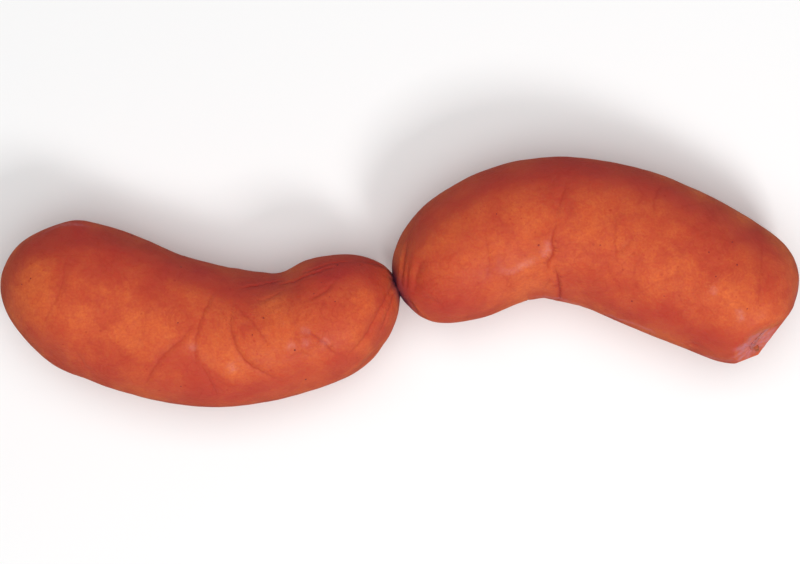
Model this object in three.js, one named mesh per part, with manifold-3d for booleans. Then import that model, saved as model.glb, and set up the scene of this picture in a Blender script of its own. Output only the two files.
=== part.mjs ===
// Two short, thick sausage links in one continuous natural casing. They lie flat in an S, seen from above:
// the left link sags in its middle, the right link arches, and the casing is twisted to a neck between them.
import * as THREE from "three";
import { ImprovedNoise } from "three/addons/math/ImprovedNoise.js";
import { mergeVertices } from "three/addons/utils/BufferGeometryUtils.js";
import Module from "manifold-3d";

const wasm = await Module();
wasm.setup();

// Driving dimensions, in millimetres. X runs along the string and Z is up from the table.
const PRESSED_FLAT = 0.8; // how far the soft underside is pressed flat against the table
const LUMP_SIZE = 17; // spacing of the shallow unevenness of the filling
const LUMP_DEPTH = 0.35;

// Each link runs from its far end to the neck. A station is x and y on the centreline and half the width there,
// and halfTall is half the height at the far end and at the neck.
// A rounded end has a length and a power: 2 is a round end, and a higher power is a blunter one.
const LEFT_LINK = {
  stations: [
    [-103.6, 2.5, 18.3],
    [-91, -0.6, 18.8],
    [-78, -5.3, 19.6],
    [-64, -10.6, 19.4],
    [-49.5, -14, 18.6],
    [-34, -14.3, 16.9],
    [-26, -12.7, 15.8],
    [-18, -9.2, 16.6],
    [-9.5, -5.8, 15.7],
    [0, -4.2, 15.2],
  ],
  halfTall: [18.3, 16.4],
  farEnd: { length: 24, power: 2 },
  neckEnd: { length: 21, power: 2 },
};
const RIGHT_LINK = {
  stations: [
    [100.4, -9.9, 16.2],
    [90.5, -4.8, 18.2],
    [80, 0.8, 19.3],
    [67, 6.8, 19.9],
    [54, 11.4, 19.4],
    [40, 13.7, 18.9],
    [26, 11.9, 17.7],
    [12.6, 3.5, 17],
    [0.3, -3.8, 16.4],
  ],
  halfTall: [18.5, 17],
  farEnd: { length: 15, power: 3 },
  neckEnd: { length: 22, power: 2.3 },
};

// Folds in the casing on the upper side: points seen from above, the depth and the half-width of the groove.
const LEFT_FOLDS = [
  { path: [[-49, -5.5], [-52, -13], [-52.4, -18], [-52, -23.5]], depth: 0.5, width: 2.2 },
  { path: [[-50.5, -9], [-59.5, -18], [-62, -20.6], [-65.5, -28]], depth: 0.5, width: 2.2 },
  { path: [[-42.7, -5], [-43, -12.3], [-41.3, -18], [-38.5, -21.5], [-31.6, -25]], depth: 0.7, width: 2.2 },
  { path: [[-41.3, -6], [-37.8, -10.2], [-34.3, -15]], depth: 0.5, width: 2.2 },
  { path: [[-41, -1], [-33, 0.4], [-28.5, 0.4], [-20, 2.6], [-14, 4.4]], depth: 0.6, width: 2.2 },
  { path: [[-2, -1.2], [-5, -6.8], [-8.6, -13.6], [-12, -19]], depth: 0.7, width: 1.8 },
];
const RIGHT_FOLDS = [
  { path: [[39.3, 12.7], [39.7, 6.8], [38.7, 1.9], [40.4, 3.3], [41.6, -0.2], [42, -3.6]], depth: 0.7, width: 2.2 },
  { path: [[54.7, 15.8], [55.5, 1.9], [56, -5]], depth: 0.4, width: 2.2 },
  { path: [[93, 9], [91.6, -2.3], [91.2, -12]], depth: 0.4, width: 2.6 },
  { path: [[0.4, -1], [1.4, 4], [4.2, 9.5], [7.4, 13]], depth: 0.7, width: 1.8 },
  { path: [[-0.2, -1], [0, 5], [1.2, 10.6]], depth: 0.6, width: 1.6 },
];

// Where the casing is gathered: the middle of the gather and the way that it points out of the link.
const NECK = new THREE.Vector3(-0.7, -0.6, 16);
const LEFT_TAIL = { at: new THREE.Vector3(-101.6, 1, 8.5), out: new THREE.Vector3(-0.8, 0.05, -0.6) };
const RIGHT_TAIL = { at: new THREE.Vector3(91.8, -16.8, 18.5), out: new THREE.Vector3(0.72, -0.62, 0.3) };
const DIMPLE_DEPTH = 1.2;
const DIMPLE_RADIUS = 4.5;
const PLEATS = 9; // pleats of the casing round a gather
const PLEAT_DEPTH = 0.5;
const PLEAT_REACH = 9; // how far from the gather the pleats run out
const PLEAT_SWIRL = 0.12; // radians that a pleat turns for each millimetre outwards
const PLEAT_SPREAD = 0.9; // radians of unevenness in the pleats' spacing

// The twisted casing of the neck and of the two tails, as a rope of a few strands.
const STRANDS = 3;
const STRAND_DEPTH = 0.16; // depth of the grooves as a share of the rope's radius
const NECK_ROPE = { radius: 1.9, long: 7, turns: 1.1, taper: 0 };
const TAIL_ROPE = { radius: 1.5, long: 4.4, turns: 0.5, taper: 0.4 };

// How finely the shapes are faceted.
const SIDES = 50; // faces round a link
const END_RINGS = 10; // rings over each rounded end
const BODY_RINGS = 22; // rings between the two ends
const ROPE_SIDES = 18;
const ROPE_RINGS = 8;
const SAMPLES = 160; // sections of a link that a fold's path is laid on
const FOLD_SAMPLES = 8; // points on a fold's line for each point of its path

const noise = new ImprovedNoise();

// The centreline as a smooth curve whose third coordinate is the half-width.
function centreline(link) {
  const points = link.stations.map(([x, y, half]) => new THREE.Vector3(x, y, half));
  return new THREE.CatmullRomCurve3(points, false, "catmullrom", 0.5);
}

// The share of the full width that a rounded end has at a distance from its tip.
function rounding(distance, { length, power }) {
  const left = Math.max(0, 1 - distance / length);
  return Math.pow(1 - Math.pow(left, power), 1 / power);
}

// One cross-section of a link, at a share of the way from its far end to the neck.
function section(link, curve, share) {
  const long = curve.getLength();
  const at = curve.getPointAt(share);
  const ahead = curve.getTangentAt(share).setZ(0).normalize();
  const ends = rounding(share * long, link.farEnd) * rounding((1 - share) * long, link.neckEnd);
  const tall = THREE.MathUtils.lerp(link.halfTall[0], link.halfTall[1], share);
  return {
    middle: new THREE.Vector3(at.x, at.y, tall - PRESSED_FLAT),
    aside: new THREE.Vector3(-ahead.y, ahead.x, 0),
    wide: at.z * ends,
    tall: tall * ends,
  };
}

// Shares of the length where the rings lie: close together on the rounded ends, even along the body.
function ringShares(link, curve) {
  const long = curve.getLength();
  const far = link.farEnd.length / long;
  const neck = link.neckEnd.length / long;
  const eased = (i) => 1 - Math.cos((Math.PI / 2) * (i / END_RINGS));
  const shares = [];
  for (let i = 0; i < END_RINGS; i++) shares.push(far * eased(i));
  for (let i = 0; i <= BODY_RINGS; i++) shares.push(far + (1 - far - neck) * (i / BODY_RINGS));
  for (let i = END_RINGS - 1; i >= 0; i--) shares.push(1 - neck * eased(i));
  return shares;
}

// A link without its folds: a ball whose rings are moved out along the centreline.
function plainLink(link) {
  const curve = centreline(link);
  const sections = ringShares(link, curve).map((share) => section(link, curve, share));
  const ball = new THREE.SphereGeometry(1, SIDES, sections.length - 1);
  const places = ball.getAttribute("position");
  const uv = ball.getAttribute("uv");
  for (let i = 0; i < places.count; i++) {
    const ring = Math.round((1 - uv.getY(i)) * (sections.length - 1));
    const turn = 2 * Math.PI * uv.getX(i);
    const { middle, aside, wide, tall } = sections[ring];
    const point = middle.clone().addScaledVector(aside, -wide * Math.cos(turn));
    point.z += tall * Math.sin(turn);
    places.setXYZ(i, point.x, point.y, point.z);
  }
  return sealed(ball);
}

// A geometry with only positions and with its seams closed.
function sealed(geometry) {
  geometry.deleteAttribute("normal");
  geometry.deleteAttribute("uv");
  return mergeVertices(geometry, 1e-3);
}

// A fold's path, smoothed and lifted from the plan onto the link's upper skin.
function layOnSkin(link, path) {
  const curve = centreline(link);
  const sections = [];
  for (let i = 0; i <= SAMPLES; i++) sections.push(section(link, curve, i / SAMPLES));
  const smooth = new THREE.CatmullRomCurve3(path.map(([x, y]) => new THREE.Vector3(x, y, 0)));
  return smooth.getSpacedPoints(path.length * FOLD_SAMPLES).map((point) => {
    const away = (s) => Math.hypot(point.x - s.middle.x, point.y - s.middle.y);
    const near = sections.reduce((best, s) => (away(s) < away(best) ? s : best));
    const off = near.wide > away(near) ? away(near) / near.wide : 1;
    return new THREE.Vector3(point.x, point.y, near.middle.z + near.tall * Math.sqrt(1 - off * off));
  });
}

// How far a fold presses a point of the skin in.
function foldDepth(point, fold) {
  const near = Math.min(...fold.line.map((p) => p.distanceTo(point)));
  return fold.depth * Math.exp(-((near / fold.width) ** 2));
}

// How far a gather pulls a point of the skin in: a dimple, and pleats that run out from it.
function gatherDepth(point, gather) {
  const away = point.clone().sub(gather.at);
  const reach = away.length();
  const flat = away.clone().addScaledVector(gather.out, -away.dot(gather.out));
  const round = Math.atan2(flat.z, flat.y * gather.out.x - flat.x * gather.out.y);
  const uneven = PLEAT_SPREAD * Math.sin(2 * round + 1);
  const pleat = 0.5 + 0.5 * Math.cos(PLEATS * round + uneven + PLEAT_SWIRL * reach);
  const fade = Math.exp(-((reach / PLEAT_REACH) ** 2)) * Math.min(1, reach / DIMPLE_RADIUS);
  return DIMPLE_DEPTH * Math.exp(-((reach / DIMPLE_RADIUS) ** 2)) + PLEAT_DEPTH * pleat * fade;
}

function lump(point) {
  return LUMP_DEPTH * noise.noise(point.x / LUMP_SIZE, point.y / LUMP_SIZE, point.z / LUMP_SIZE);
}

// A link with its unevenness, folds and gathers, flat where it rests on the table.
function foldedLink(link, folds, gathers) {
  const geometry = plainLink(link);
  geometry.computeVertexNormals();
  const laid = folds.map((fold) => ({ ...fold, line: layOnSkin(link, fold.path) }));
  const places = geometry.getAttribute("position");
  const normals = geometry.getAttribute("normal");
  for (let i = 0; i < places.count; i++) {
    const point = new THREE.Vector3().fromBufferAttribute(places, i);
    const out = new THREE.Vector3().fromBufferAttribute(normals, i);
    let lift = lump(point);
    for (const fold of laid) lift -= foldDepth(point, fold);
    for (const gather of gathers) lift -= gatherDepth(point, gather);
    point.addScaledVector(out, lift);
    places.setXYZ(i, point.x, point.y, Math.max(0, point.z));
  }
  geometry.deleteAttribute("normal");
  return geometry;
}

// A short rope of twisted casing along a direction.
function twistedCasing(at, out, { radius, long, turns, taper }) {
  const rope = new THREE.CylinderGeometry(1, 1, 1, ROPE_SIDES, ROPE_RINGS);
  const places = rope.getAttribute("position");
  for (let i = 0; i < places.count; i++) {
    const along = places.getY(i);
    const round = Math.atan2(places.getZ(i), places.getX(i));
    const across = Math.hypot(places.getX(i), places.getZ(i));
    const strand = 1 + STRAND_DEPTH * Math.cos(STRANDS * (round + 2 * Math.PI * turns * along));
    const size = radius * across * strand * (1 - taper * (along + 0.5));
    places.setXYZ(i, size * Math.cos(round), along * long, size * Math.sin(round));
  }
  const turned = new THREE.Quaternion().setFromUnitVectors(new THREE.Vector3(0, 1, 0), out.clone().normalize());
  return sealed(rope).applyQuaternion(turned).translate(at.x, at.y, at.z);
}

function solidOf(geometry) {
  const vertProperties = new Float32Array(geometry.getAttribute("position").array);
  const triVerts = new Uint32Array(geometry.index.array);
  return new wasm.Manifold(new wasm.Mesh({ numProp: 3, vertProperties, triVerts }));
}

function geometryOf(solid) {
  const mesh = solid.getMesh();
  const geometry = new THREE.BufferGeometry();
  geometry.setAttribute("position", new THREE.BufferAttribute(new Float32Array(mesh.vertProperties), 3));
  geometry.setIndex(new THREE.BufferAttribute(new Uint32Array(mesh.triVerts), 1));
  geometry.computeVertexNormals();
  return geometry;
}

// The whole string as one solid, because its casing is one length from tail to tail.
function sausageString() {
  const rightwards = new THREE.Vector3(1, 0, 0);
  const leftwards = new THREE.Vector3(-1, 0, 0);
  const pieces = [
    foldedLink(LEFT_LINK, LEFT_FOLDS, [{ at: NECK, out: rightwards }, LEFT_TAIL]),
    foldedLink(RIGHT_LINK, RIGHT_FOLDS, [{ at: NECK, out: leftwards }, RIGHT_TAIL]),
    twistedCasing(NECK, rightwards, NECK_ROPE),
    twistedCasing(LEFT_TAIL.at, LEFT_TAIL.out, TAIL_ROPE),
    twistedCasing(RIGHT_TAIL.at, RIGHT_TAIL.out, TAIL_ROPE),
  ];
  const joined = pieces.map(solidOf).reduce((whole, piece) => whole.add(piece));
  const skin = new THREE.MeshStandardMaterial({ color: 0xc8573c, roughness: 0.42, metalness: 0 });
  const mesh = new THREE.Mesh(geometryOf(joined), skin);
  mesh.name = "sausage_string";
  return mesh;
}

const group = new THREE.Group();
group.add(sausageString());

export default group;
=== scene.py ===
# Two short, thick sausage links in one natural casing, on a pale table, seen from straight above.
import math
import random

import bpy
import numpy as np
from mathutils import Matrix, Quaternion, Vector, noise


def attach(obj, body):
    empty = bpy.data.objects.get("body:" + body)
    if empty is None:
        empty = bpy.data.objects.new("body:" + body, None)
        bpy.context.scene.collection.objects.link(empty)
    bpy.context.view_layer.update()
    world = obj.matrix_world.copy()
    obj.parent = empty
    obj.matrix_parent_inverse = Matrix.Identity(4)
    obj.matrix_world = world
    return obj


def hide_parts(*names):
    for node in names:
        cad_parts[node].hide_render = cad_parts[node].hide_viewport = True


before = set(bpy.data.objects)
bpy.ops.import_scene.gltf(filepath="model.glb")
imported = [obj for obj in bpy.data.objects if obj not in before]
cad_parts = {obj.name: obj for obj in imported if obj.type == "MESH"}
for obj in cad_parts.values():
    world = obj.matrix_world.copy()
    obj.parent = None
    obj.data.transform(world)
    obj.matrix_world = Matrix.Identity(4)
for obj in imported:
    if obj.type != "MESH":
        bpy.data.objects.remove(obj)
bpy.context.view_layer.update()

MM = 0.001

# The links
# Each runs from its far end to the neck. A station is x and y on the centreline and half the width there, and
# half_tall is half the height at the far end and at the neck. A rounded end has a length and a power.
LEFT_LINK = {
    "stations": [
        (-103.8, 1.2, 18.4), (-91.5, -1.2, 19.1), (-79, -5.2, 20.1), (-64, -11.1, 19.4), (-49.5, -14.2, 18.8),
        (-34, -14.2, 17), (-26, -12.5, 15.9), (-18, -9.3, 16.6), (-9.5, -5.2, 15.9), (-0.6, -2.9, 15.4),
    ],
    "half_tall": (18.3, 16.4),
    "far_end": (24.5, 2),
    "neck_end": (20.5, 2.05),
}
RIGHT_LINK = {
    "stations": [
        (100.7, -9.4, 16), (90.5, -4.8, 18.1), (80, 0.7, 19.3), (67, 6.7, 19.9), (54, 11.7, 19.6),
        (40, 13.9, 18.7), (33, 13.5, 18.1), (26, 11.8, 17.8), (12.8, 4.3, 17), (0.5, -4.3, 16.4),
    ],
    "half_tall": (18.5, 17),
    "far_end": (15, 3),
    "neck_end": (22, 2.2),
}

# How far a link sinks into the table before its underside is pressed flat, in millimetres
PRESSED_FLAT = 0.8

# Corners round a link, its rings in each rounded end, the first one's place as a share of a step, its rings
# between the ends, and the levels of its smoothing
SIDES = 36
END_RINGS = 9
FIRST_RING = 0.4
BODY_RINGS = 18
SMOOTHING = 3

# Steps along a centreline
LINE_STEPS = 240

# Folds in the casing: points seen from above, the depth and half-width of the groove in millimetres, and how
# dark the painted shade along its line is.
LEFT_FOLDS = [
    ([(-51.5, -7.5), (-54.6, -13.6), (-59.4, -17.9), (-61.9, -20.6), (-65.3, -26.2), (-65.9, -31)], 0.22, 0.8, 0.5),
    ([(-46.5, -1), (-49, -5.3), (-51.8, -13), (-52.3, -17.9), (-52.1, -23.5)], 0.22, 0.7, 0.5),
    ([(-51.9, -20), (-49.5, -24), (-47.4, -28.6), (-46.5, -32)], 0.12, 0.6, 0.3),
    ([(-42.2, -1), (-42.9, -7.3), (-43.1, -12.3), (-41.3, -17.9), (-38.5, -21.3), (-31.6, -25.2), (-28, -26.5)],
     0.3, 0.8, 0.65),
    ([(-43.5, -3.4), (-40.5, -7.8), (-37.8, -10.2), (-34.3, -15.1), (-33, -17)], 0.16, 1, 0.5),
    ([(-24.5, -11.6), (-23.2, -13), (-19.4, -15.8), (-17.6, -17.9), (-14.5, -19.8)], 0.24, 0.5, 0.7),
    ([(-29.5, -20.6), (-26, -18.4), (-21.8, -19.4)], 0.12, 0.5, 0.35),
    ([(-33, -0.8), (-28.8, -0.3), (-20.4, 2.7), (-14, 4.6)], 0.18, 0.5, 0.8),
    ([(-28, 1.2), (-22, 3.2), (-17, 4.8), (-9.5, 5.2)], 0.16, 0.5, 0.6),
    ([(-43, -2.2), (-38, -1.3), (-33, -0.2), (-28.8, 0.8)], 0.16, 0.5, 0.8),
    ([(-38, -5), (-34.5, -4.6), (-31.6, -3.2), (-28.7, -1.5)], 0.14, 0.6, 0.4),
    ([(-15.8, 2), (-18.3, -1.8), (-21.8, -3.9), (-24, -4.5)], 0.15, 0.6, 0.5),
    ([(-20, -3), (-19.6, -5.6), (-21.3, -8)], 0.1, 0.6, 0.3),
    ([(-0.2, 2.5), (-1.6, 0.2), (-4.6, -6.2), (-8.6, -13.7), (-12, -17.6), (-14, -19.5)], 0.3, 1, 0.6),
    ([(-0.6, -1), (-1.8, -4), (-3.8, -9.7), (-6.5, -16)], 0.12, 0.7, 0.35),
    ([(-0.2, 2), (-3.4, 3.6), (-8, 5), (-13, 5.4)], 0.2, 0.7, 0.4),
    ([(-85.9, 10), (-85.7, 4.4), (-86.6, -1.8), (-89, -6.7), (-91.5, -11.6), (-92.2, -16.5)], 0.12, 1.2, 0.35),
    ([(-83.6, -17), (-81.7, -20.6), (-79, -24.5)], 0.12, 0.8, 0.3),
]
RIGHT_FOLDS = [
    ([(39.9, 19), (39.7, 14.6), (38.6, 10.2), (39.1, 8.4), (38.6, 6.3), (37.7, 4.8), (37.6, 3.2), (37.8, 0)],
     0.25, 0.5, 0.9),
    ([(39.2, 6), (39.6, 3.5), (40.3, 1.6), (40.6, 0.1), (41, -1.7), (41.2, -3.8), (41, -7), (40.6, -11)],
     0.3, 0.5, 1),
    ([(36.6, -2.6), (38.4, 0), (39.6, 0.8)], 0.15, 0.5, 0.4),
    ([(43, 27), (42.1, 23.5), (40.8, 19.3), (39.5, 13.1)], 0.14, 0.7, 0.45),
    ([(53.6, 19), (54.9, 15.8), (54.9, 9), (56, 1.9)], 0.1, 0.8, 0.35),
    ([(68, 25.5), (66.5, 23.5), (65.1, 20), (65.1, 14.5)], 0.14, 0.8, 0.45),
    ([(61, 12.3), (57.5, 8.9), (55, 7.6)], 0.1, 0.7, 0.3),
    ([(21.3, 14.8), (22.6, 6.8), (22.6, -2.3)], 0.12, 0.9, 0.35),
    ([(94, 12), (93, 8.9), (91.6, -2.3), (91.3, -12)], 0.12, 1.2, 0.3),
    ([(72, -17), (75, -16), (79, -17.5)], 0.1, 0.7, 0.3),
    ([(0.4, -3.6), (0.5, 1), (0.9, 5), (1.4, 9), (2.6, 13)], 0.32, 0.9, 0.4),
    ([(1.6, -4.6), (1.9, 0), (2, 3.4), (2.6, 6)], 0.22, 0.8, 0.3),
    ([(3.4, -5.4), (3.8, -1), (4.6, 3), (7, 6.6)], 0.32, 1.3, 0.4),
    ([(1.6, -3.4), (3.4, -6.6), (6, -9.4), (10, -11.6)], 0.35, 0.8, 0.5),
    ([(0.3, -4.4), (1.6, -7.6), (4, -10.4), (6.6, -12)], 0.3, 0.8, 0.5),
    ([(3.4, -4.6), (6.4, -4.2), (9.4, -5.4), (12, -8)], 0.15, 0.8, 0.25),
]

# Folds on the sides and underneath: the share of the way along the link and the degrees round it, where 0 is
# the side on the left as the link runs to the neck, and 270 is underneath.
HIDDEN_FOLDS = [
    ([(0.16, 200), (0.2, 232), (0.19, 268)], 0.2, 0.8, 0.5),
    ([(0.34, 196), (0.38, 228), (0.44, 250)], 0.25, 0.8, 0.6),
    ([(0.47, 300), (0.5, 338), (0.47, 362)], 0.25, 0.7, 0.6),
    ([(0.55, 215), (0.57, 262), (0.53, 300)], 0.2, 0.8, 0.45),
    ([(0.66, 290), (0.7, 325), (0.74, 350)], 0.25, 0.7, 0.5),
    ([(0.8, 205), (0.86, 240), (0.93, 262)], 0.25, 0.8, 0.5),
    ([(0.84, 300), (0.9, 318), (0.96, 322)], 0.25, 0.8, 0.5),
    ([(0.28, 285), (0.31, 320), (0.3, 345)], 0.2, 0.7, 0.45),
]

# Painted shade on the casing, darker on its shoulders than along its crown: the skin's upward lean and the share
# there, and how much more at the back, at the ends and within reach of the neck
PAINTED_SHADE_BY_LEAN = [
    (-1, 0.35), (0.05, 0.3), (0.26, 0.22), (0.42, 0.45), (0.6, 0.62), (0.72, 0.58), (0.82, 0.34), (0.92, 0.14),
    (1, 0),
]
PAINTED_SHADE_BACK = 0.5
PAINTED_SHADE_ENDS = -0.9
PAINTED_SHADE_NECK = 0.5
NECK_REACH = 16

# Shallow dents in the filling, and swellings where the depth is negative: x, y, radius and depth
LEFT_DENTS = [
    (-36, 1, 9, 0.9), (-49.5, -12, 3, 0.25), (-8, -12, 4, 0.3), (-3.4, 2.4, 4, -0.8), (-84.5, 14.5, 5.5, -1.2),
    (-70.5, 12, 6, 0.7), (-1, -2.4, 3, -0.7), (-90, -19.5, 6, 0.9), (-7.5, -21, 5, 1.3), (-20.5, -27, 5, -0.4),
    (-3.5, -14.5, 4, -0.5),
]
RIGHT_DENTS = [
    (45.5, -2, 6, 0.6), (88, 14, 5, 0.3), (0.2, -1.6, 3, -0.5), (9, -10.5, 5, -0.5), (33, -4.4, 4, -0.6),
    (92.8, -18.4, 3, -1), (0.6, 12.5, 7, 1), (-1.8, 4, 3, 0.25),
]

# Patches where the filling is redder under the casing, some of them painted shade on the right link's lower flank
# and by the neck, and where it is paler, some of them painted light along the rims: x, y, radius and share
REDDER_AND_SHADED = [
    (-76, 5.8, 7, 0.45), (-62.4, -1.5, 5, 0.35), (-88, -13, 4.5, 0.4), (-67.6, -20.5, 4, 0.2),
    (-36.4, -20.5, 3, 0.25), (-81.4, -18.4, 4, 0.2), (-59.3, -19.7, 3, 0.2), (-51, -23.2, 4, 0.3),
    (-37.7, -17.9, 3.5, 0.25), (-15, 1, 5, 0.3), (-42.4, -2.3, 3, 0.2), (-26, -21, 4, 0.4), (-48, -11.4, 3, 0.25),
    (26.5, 23.2, 4, 0.3), (18, 10.4, 5, 0.5), (22, 3.7, 3, 0.3), (45.5, 26.3, 4, 0.25), (43.4, 15.9, 4, 0.25),
    (61.6, 10.2, 5, 0.35), (73.3, 16.7, 5, 0.3), (95, 0, 4.5, 0.45), (52, 2.9, 3, 0.25), (76.7, -13, 4, 0.25),
    (85.8, -15.8, 3, 0.3), (69, -9, 7, 0.6), (80, -13.5, 8, 0.85), (61, -4.5, 6, 0.4), (63, -8.5, 5, 0.7),
    (98.8, -2.4, 3.5, 0.45), (2.5, -1.5, 4, 0.8), (3, 5, 7, 0.4), (5, 14, 8, 0.6), (15, 21, 5, 0.4), (86, -2, 4, 0.3),
]
PALER_AND_LIT = [
    (-32, -5.4, 5, 0.7), (-24.7, -8.4, 5, 0.6), (-71.8, -11.4, 5, 0.35), (-58.8, -10.2, 4, 0.6),
    (-42.4, -23, 4, 0.5), (-86, -7.5, 5, 0.25), (-10.6, -5, 4, 0.5), (-54, -15.3, 2.5, 0.4),
    (-19.5, -15.8, 3, 0.35), (-9.9, -14, 4, 0.2), (-16, -10, 6, 0.25), (-103.5, 2, 6, 0.9), (-102, 10, 4.5, 0.6),
    (-98, 14, 4, 0.4), (-101, -8, 4.5, 0.5), (-95, -16, 4, 0.4), (33.8, 0.3, 7, 0.7), (37.7, 8, 3, 0.45),
    (26, -1.7, 5, 0.6), (13.6, 3, 5, 0.5), (45.5, 6.3, 5, 0.5), (57.2, 4.5, 5, 0.5), (74, -5, 4, 0.4),
    (66, 0.5, 5, 0.3), (82, -6, 6, 0.7), (15.6, 22.4, 3, 0.2), (93.5, -12.5, 3, 0.5), (68, 27, 4, 0.6),
    (78, 22.4, 4.5, 0.8), (88, 17.2, 4.5, 0.8), (98, 10, 4.5, 0.8), (103, 3.5, 4, 0.5),
]

# Thin pale lines of painted reflection along the casing's rims, seen from above, how wide they are and how pale
REFLECTED_RIM_LINES = [
    [(-94.5, 10.6), (-89.6, 13.8), (-84.5, 14.8), (-78, 13.6)],
    [(76.5, -18.6), (80, -19.6), (84, -20.4), (88, -20)],
    [(103.2, 2), (102.4, -2.3), (100.6, -6.4)],
    [(50, -7.4), (57, -9.8), (63.5, -12.2), (68, -14.4)],
    [(31, -3.9), (37, -3.9), (41.6, -4.6), (46.8, -6.1), (51, -7.6)],
]
REFLECTED_RIM_WIDTH = 0.6
REFLECTED_RIM_SHARE = 0.45

# Soft short lines where the casing stands a little off the filling, moist and painted with a pale highlight, and
# how wide they are
LOOSE_HIGHLIGHT_LINES = [
    [(24.5, 2.3), (29.1, 2.8), (32.5, 4.6), (36.2, 6.3)],
    [(36.4, 5.4), (37.3, 8.2), (38, 11)],
    [(79, -1.2), (80.8, -3.4)],
    [(86.2, -6.6), (87.4, -10.6)],
    [(-29.4, -17), (-26.6, -15.8)],
    [(-26, -12), (-22.4, -13.2)],
    [(-25.4, -15), (-23, -16.2)],
    [(-20.4, -14.2), (-18, -16.8)],
    [(-43.8, -20.4), (-42.2, -23.6)],
    [(-53, -15.6), (-52.5, -18)],
]
LOOSE_HIGHLIGHT_WIDTH = 0.9

# Patches where the casing is finely crinkled, with pale flecks painted on as highlights: x, y and radius
CRINKLED_HIGHLIGHT_PATCHES = [
    (-42.6, -21.6, 2.6), (-52.6, -16.8, 1.6), (-24.5, -13, 3.4), (-21, -16, 2.6), (-29, -16.5, 2),
    (-34, -8, 5), (-44, -9, 3), (34, 4.2, 2.6), (30, 2.4, 2), (37, 7.6, 2), (79.8, -2.2, 2), (86.8, -8.6, 2),
    (60, 10.5, 2.6), (57.5, 7, 2),
]

# Specks of spice that can be seen under the casing: x, y, half their width and how dark they are
LEFT_SPECKS = [
    (-56.4, 3.7, 0.28, 0.6), (-94.6, 0.7, 0.24, 0.5), (-34.9, -9.4, 0.26, 0.4), (-26.9, -17.6, 0.26, 1),
    (-24.3, -25.3, 0.26, 1), (-16.1, 4.2, 0.28, 0.8), (-56.7, -10.6, 0.2, 0.5), (-37.7, -13.7, 0.2, 0.6),
    (-56.3, -27, 0.22, 0.6), (-10.4, 4.2, 0.24, 0.5), (-20.2, -0.3, 0.2, 0.4), (-22.1, -3.2, 0.2, 0.4),
    (-16.6, -5.2, 0.2, 0.4), (-97, -0.8, 0.2, 0.4), (-18, -4, 0.16, 0.4),
]
RIGHT_SPECKS = [
    (35.4, 9.2, 0.3, 0.35), (59.5, -5.1, 0.26, 0.5), (78.8, 7.4, 0.24, 0.4), (85, 10, 0.24, 0.4),
    (24.7, 17.2, 0.22, 0.4), (51.1, 9.2, 0.2, 0.3), (86, 4.2, 0.26, 0.6), (80.5, 1.2, 0.22, 0.4),
    (88.5, -7, 0.2, 0.3), (67.5, -3.8, 0.18, 0.4),
]
# More of them on each link's sides and underneath: how many, the share of the way along it and the degrees round
# it where they lie, half their width and how dark they are, and how low above the table any speck is
SPECKS_BELOW = 28
SPECKS_ALONG = (0.06, 0.94)
SPECKS_ROUND = (180, 372)
SPECK_SIZES = (0.16, 0.32)
SPECKS_DARK = (0.3, 1)
SPECKS_LOWEST = 1 * MM
SPECK_SEED = 5

# The twists of the casing: where each is and the way that it points out of its link, and how thick and long
# it is in millimetres
NECK = Vector((-0.1, -1.6, 16)) * MM
LEFT_TAIL = Vector((-101.6, 1, 8.5)) * MM
LEFT_TAIL_OUT = Vector((-0.8, 0.05, -0.6)).normalized()
RIGHT_TAIL = Vector((92.1, -17.2, 22.9)) * MM
RIGHT_TAIL_OUT = Vector((0.27, -0.39, -0.88)).normalized()
NECK_RADIUS = 1.3
NECK_LENGTH = 5
TAIL_RADIUS = 0.9
TAIL_LENGTH = 3

# The face at the right link's end that the casing's last pleats run across
RIGHT_FACE = Vector((0.5, -0.72, 0.48))

# Where the casing lies flat: the middle of the flat, the way it faces and its reach
LEFT_FLATS = [(LEFT_TAIL - 0.3 * MM * LEFT_TAIL_OUT, LEFT_TAIL_OUT, 4.5)]
RIGHT_FLATS = [
    (Vector((98.6, -11.4, 17)) * MM, Vector((0.81, -0.58, 0.05)).normalized(), 11),
    (Vector((90.9, -20, 17)) * MM, Vector((0.36, -0.93, 0.05)).normalized(), 5),
    (Vector((92.2, -16.7, 24)) * MM, RIGHT_FACE.normalized(), 6.5),
]

# Where it is gathered: the middle, the way out, the depth and reach of the dimple, the reach of the pleats and
# of the pale skin, partly painted reflection, and the middle and reach of the skin by the twist, which isn't pale
LEFT_GATHERS = [
    (NECK, (0.92, 0.39, 0), 0, 2, 5, 0, NECK, 1),
    (LEFT_TAIL, LEFT_TAIL_OUT, 0.6, 3, 6.5, 4.5, LEFT_TAIL, 1.6),
]
RIGHT_GATHERS = [
    (NECK, (-0.92, -0.39, 0), 0, 2, 6, 0, NECK, 1),
    (Vector((91.5, -15.9, 25)) * MM, RIGHT_FACE, 0, 2.5, 4, 6.8, Vector((93, -19, 20)) * MM, 3),
]

# How far from the neck each link's skin is dark where the two press together, partly the casing's own colour
# and partly painted shade between the links, in millimetres
LEFT_PINCH = 4.6
RIGHT_PINCH = 7
PINCH_HEIGHT = 0.95

# The photograph's view, in metres: the picture is 800 pixels wide, and 0.26 mm a pixel halfway up the links.
CAMERA_HEIGHT = 0.9
LINK_MIDDLE = 0.018
ABOVE_LINKS = 0.1
PICTURE_WIDE = 0.208
PICTURE_MIDDLE = (0, -0.00018)
SENSOR = 36


def smooth_line(points, steps):
    """A smooth line through a few points, with its ends carried straight on."""
    p = np.array(points, float)
    p = np.vstack([2 * p[0] - p[1], p, 2 * p[-1] - p[-2]])
    u = np.linspace(0, len(points) - 1, steps)
    i = np.minimum(u.astype(int), len(points) - 2)
    t = (u - i)[:, None]
    a, b, c, d = (p[i + k] for k in range(4))
    return 0.5 * (2 * b + (c - a) * t + (2 * a - 5 * b + 4 * c - d) * t**2 + (3 * b - a - 3 * c + d) * t**3)


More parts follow.
